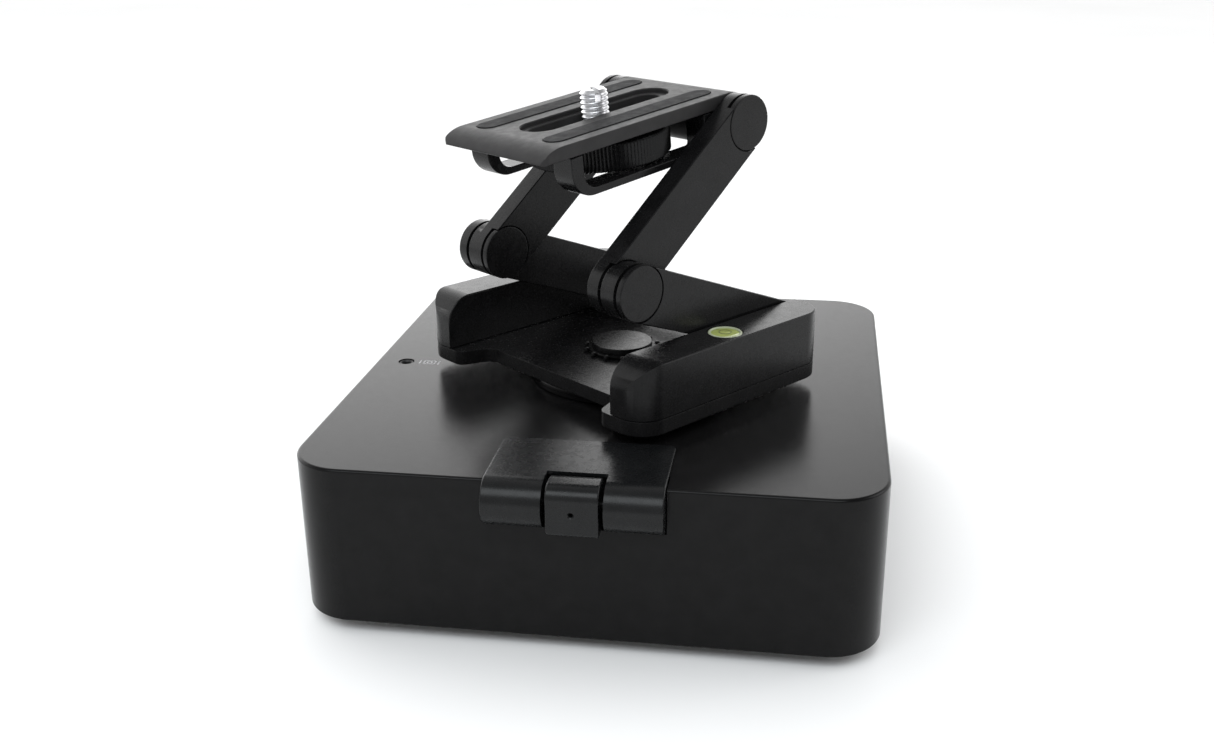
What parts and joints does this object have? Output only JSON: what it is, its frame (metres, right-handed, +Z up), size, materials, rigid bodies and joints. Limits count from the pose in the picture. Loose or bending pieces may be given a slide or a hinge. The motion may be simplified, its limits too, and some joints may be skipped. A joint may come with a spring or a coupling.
{
  "type": "camera slider",
  "caption": "Motorised table-top camera dolly: low box on steered wheels with a panning head, folding Z-shaped arms and a slotted camera plate.",
  "frame": {"origin": "middle of the overall footprint, on the surface that the wheels stand on", "axes": "+Z up; +Y towards the box's rear, away from the pointer hinge; +X to the right seen from the front"},
  "size_m": [0.188, 0.1996, 0.1639],
  "materials": {
    "black_anodised": "satin black anodising with a fine bead-blast grain",
    "black_rubber": "matt",
    "bright_steel": "bright turned",
    "black_plastic": "fine moulded grain",
    "brass": "cut gear, lightly oiled",
    "circuit_board": "solder mask",
    "battery_wrap": "shrink film",
    "level_liquid": "clear",
    "pointer_lens": "polished"
  },
  "bodies": {
    "box": {"body_shell": "black_anodised", "bottom_cover": "black_plastic", "cover_screw_1": "bright_steel", "cover_screw_2": "bright_steel", "cover_screw_3": "bright_steel", "cover_screw_4": "bright_steel", "battery_pack": "battery_wrap", "main_board": "circuit_board", "pan_motor": "bright_steel", "pan_bearing": "bright_steel", "trigger_jack": "black_plastic", "charge_port": "bright_steel", "pointer_bracket": "black_anodised", "pointer_hinge_pin": "bright_steel", "steering_motor_1": "black_plastic", "steering_motor_2": "black_plastic", "steering_motor_3": "black_plastic"},
    "power_button": {"power_button": "black_plastic"},
    "pinion": {"pan_pinion": "brass"},
    "pan_head": {"pan_turntable": "black_anodised", "pan_gear": "brass", "head_base": "black_anodised", "side_wall_near": "black_anodised", "side_wall_far": "black_anodised", "bubble_level": "level_liquid"},
    "clamp": {"clamp_knob": "black_anodised"},
    "lower_arms": {"lower_arm_near": "black_anodised", "lower_arm_far": "black_anodised", "lower_cap_near": "black_anodised", "mid_pin_near": "bright_steel", "mid_pin_far": "bright_steel", "rear_hinge_shaft": "bright_steel"},
    "upper_arms": {"upper_arm_near": "black_anodised", "upper_arm_far": "black_anodised", "mid_cap_far": "black_anodised", "top_cap_near": "black_anodised", "top_cap_far": "black_anodised", "top_hinge_shaft": "bright_steel"},
    "camera_plate": {"top_plate": "black_anodised", "rubber_strip_near": "black_rubber", "rubber_strip_far": "black_rubber", "plate_guard_near": "black_anodised", "plate_guard_far": "black_anodised"},
    "screw_slide": {"slide_washer": "bright_steel"},
    "camera_screw": {"camera_knob": "black_anodised", "camera_screw": "bright_steel"},
    "pointer": {"pointer_block": "black_anodised", "pointer_lens": "pointer_lens"},
    "steer_1": {"wheel_fork_1": "black_plastic"},
    "wheel_1": {"wheel_hub_1": "black_plastic", "tyre_1": "black_rubber"},
    "steer_2": {"wheel_fork_2": "black_plastic"},
    "wheel_2": {"wheel_hub_2": "black_plastic", "tyre_2": "black_rubber"},
    "steer_3": {"wheel_fork_3": "black_plastic"},
    "wheel_3": {"wheel_hub_3": "black_plastic", "tyre_3": "black_rubber"}
  },
  "joints": [
    {"name": "pan_turn", "type": "hinge", "parent": "box", "child": "pan_head", "pos_m": [0, 0.0035, 0.0625], "axis": [0, 0, 1], "continuous": true},
    {"name": "pinion_spin", "type": "hinge", "parent": "box", "child": "pinion", "pos_m": [0, -0.0325, 0.046], "axis": [0, 0, 1], "continuous": true},
    {"name": "clamp_turn", "type": "hinge", "parent": "pan_head", "child": "clamp", "pos_m": [0, 0.0035, 0.068], "axis": [0, 0, 1], "continuous": true},
    {"name": "lower_arm_tilt", "type": "hinge", "parent": "pan_head", "child": "lower_arms", "pos_m": [0.02397, 0.03363, 0.0776], "axis": [0.7826, -0.6225, 0], "range_deg": [-60, 21]},
    {"name": "upper_arm_tilt", "type": "hinge", "parent": "lower_arms", "child": "upper_arms", "pos_m": [-0.01917, -0.0206, 0.105], "axis": [0.7826, -0.6225, 0], "range_deg": [-48, 95]},
    {"name": "plate_tilt", "type": "hinge", "parent": "upper_arms", "child": "camera_plate", "pos_m": [0.01737, 0.02533, 0.1511], "axis": [0.7826, -0.6225, 0], "range_deg": [-60, 45]},
    {"name": "screw_shift", "type": "slide", "parent": "camera_plate", "child": "screw_slide", "axis": [-0.6191, -0.7783, -0.1045], "range_m": [-0.004, 0.0085]},
    {"name": "screw_turn", "type": "hinge", "parent": "screw_slide", "child": "camera_screw", "pos_m": [-0.00671, -0.00494, 0.14703], "axis": [-0.0651, -0.0818, 0.9945], "continuous": true},
    {"name": "pointer_tilt", "type": "hinge", "parent": "box", "child": "pointer", "pos_m": [-0.00035, -0.0918, 0.05225], "axis": [1, 0, 0], "range_deg": [-40, 8]},
    {"name": "button_press", "type": "slide", "parent": "box", "child": "power_button", "axis": [0, -1, 0], "range_m": [0, 0.0008], "stiffness_N_per_m": 600},
    {"name": "wheel_steer_1", "type": "hinge", "parent": "box", "child": "steer_1", "pos_m": [0, 0.0635, 0.035], "axis": [0, 0, 1], "range_deg": [-90, 90]},
    {"name": "wheel_roll_1", "type": "hinge", "parent": "steer_1", "child": "wheel_1", "pos_m": [0, 0.0635, 0.017], "axis": [1, 0, 0], "continuous": true},
    {"name": "wheel_steer_2", "type": "hinge", "parent": "box", "child": "steer_2", "pos_m": [-0.054, -0.0445, 0.035], "axis": [0, 0, 1], "range_deg": [-90, 90]},
    {"name": "wheel_roll_2", "type": "hinge", "parent": "steer_2", "child": "wheel_2", "pos_m": [-0.054, -0.0445, 0.017], "axis": [1, 0, 0], "continuous": true},
    {"name": "wheel_steer_3", "type": "hinge", "parent": "box", "child": "steer_3", "pos_m": [0.054, -0.0445, 0.035], "axis": [0, 0, 1], "range_deg": [-90, 90]},
    {"name": "wheel_roll_3", "type": "hinge", "parent": "steer_3", "child": "wheel_3", "pos_m": [0.054, -0.0445, 0.017], "axis": [1, 0, 0], "continuous": true}
  ],
  "couplings": [
    {"joint": "pinion_spin", "follows": "pan_turn", "ratio": -3}
  ]
}
